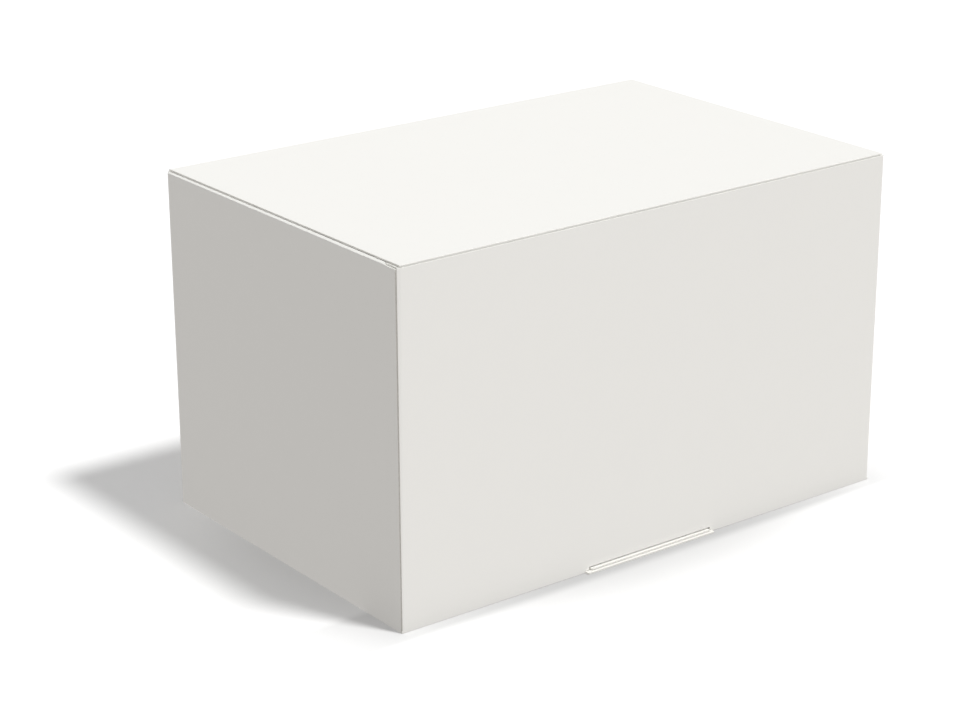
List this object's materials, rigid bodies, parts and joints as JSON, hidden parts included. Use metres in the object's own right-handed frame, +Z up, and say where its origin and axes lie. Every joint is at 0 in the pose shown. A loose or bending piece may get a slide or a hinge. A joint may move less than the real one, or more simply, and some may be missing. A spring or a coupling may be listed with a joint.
{
  "type": "tuck-top tray box",
  "caption": "White folding carton: a tray with rolled double end walls and a hinged lid whose front flap tucks in and locks with a tab at the foot of the front wall.",
  "frame": {"origin": "centre of the bounding box's underside, on the surface that the box stands on", "axes": "+X to the right along the front, +Y from the front to the back, +Z up"},
  "size_m": [0.17, 0.1118, 0.1],
  "materials": {
    "coated_board": "white, smooth, faint satin",
    "plain_board": "white, matte, inner side"
  },
  "bodies": {
    "tray": {"base_panel": "coated_board", "front_wall": "coated_board", "back_wall": "coated_board", "end_wall_outer_left": "coated_board", "end_wall_outer_right": "coated_board", "end_roll_left": "coated_board", "end_roll_right": "coated_board", "end_wall_inner_left": "coated_board", "end_wall_inner_right": "coated_board", "front_ear_left": "plain_board", "front_ear_right": "plain_board", "back_ear_left": "plain_board", "back_ear_right": "plain_board"},
    "lid": {"lid_panel": "coated_board"},
    "flap": {"tuck_flap": "coated_board", "lock_tab": "coated_board"}
  },
  "joints": [
    {"name": "lid_hinge", "type": "hinge", "parent": "tray", "child": "lid", "pos_m": [0, 0.0559, 0.0995], "axis": [-1, 0, 0], "range_deg": [0, 95], "deforming": ["lock_tab"]},
    {"name": "tuck_flap_fold", "type": "hinge", "parent": "lid", "child": "flap", "pos_m": [0, -0.0528, 0.0992], "axis": [1, 0, 0], "range_deg": [0, 90]}
  ],
  "couplings": [
    {"joint": "tuck_flap_fold", "follows": "lid_hinge", "ratio": 0.94}
  ]
}
